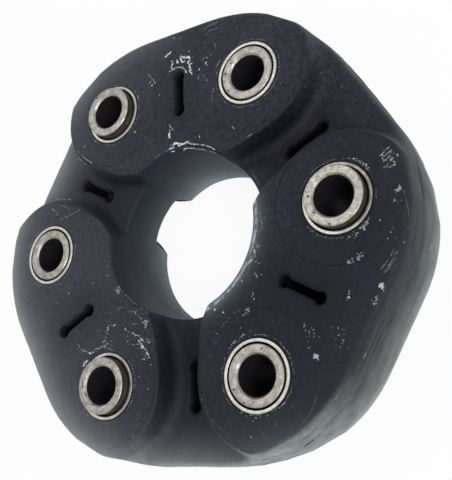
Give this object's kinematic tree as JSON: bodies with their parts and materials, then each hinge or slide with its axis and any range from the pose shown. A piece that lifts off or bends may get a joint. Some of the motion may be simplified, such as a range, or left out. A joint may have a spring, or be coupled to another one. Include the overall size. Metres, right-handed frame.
{
  "type": "driveshaft coupler",
  "caption": "Round flexible rubber disc that couples two driveshaft flanges, with steel bolt sleeves on a circle, a centre bore, deep valleys and slots.",
  "frame": {"origin": "on the disc's axis, level with the ends of the three sleeves it rests on", "axes": "+Z along the disc's axis out of its front face; +X through bush 3, +Y through the middle of the thick bridge between bushes 1 and 2"},
  "size_m": [0.1524, 0.1454, 0.0406],
  "materials": {
    "rubber": "matt charcoal moulded rubber with pale scuffs",
    "sleeve_steel": "dull pale steel, turned, with small pits",
    "collar_steel": "dull pale steel, pressed",
    "cord": "wound polyester cord, hidden in the rubber"
  },
  "bodies": {
    "root": {"rubber_body": "rubber", "sleeve_1": "sleeve_steel", "sleeve_2": "sleeve_steel", "sleeve_3": "sleeve_steel", "sleeve_4": "sleeve_steel", "sleeve_5": "sleeve_steel", "sleeve_6": "sleeve_steel", "front_collar_1": "collar_steel", "front_collar_2": "collar_steel", "front_collar_3": "collar_steel", "front_collar_4": "collar_steel", "front_collar_5": "collar_steel", "front_collar_6": "collar_steel", "back_collar_1": "collar_steel", "back_collar_2": "collar_steel", "back_collar_3": "collar_steel", "back_collar_4": "collar_steel", "back_collar_5": "collar_steel", "back_collar_6": "collar_steel", "drive_cord_front_1": "cord", "drive_cord_front_2": "cord", "drive_cord_front_3": "cord", "drive_cord_back_1": "cord", "drive_cord_back_2": "cord", "drive_cord_back_3": "cord", "coast_cord_1": "cord", "coast_cord_2": "cord", "coast_cord_3": "cord"}
  },
  "joints": []
}
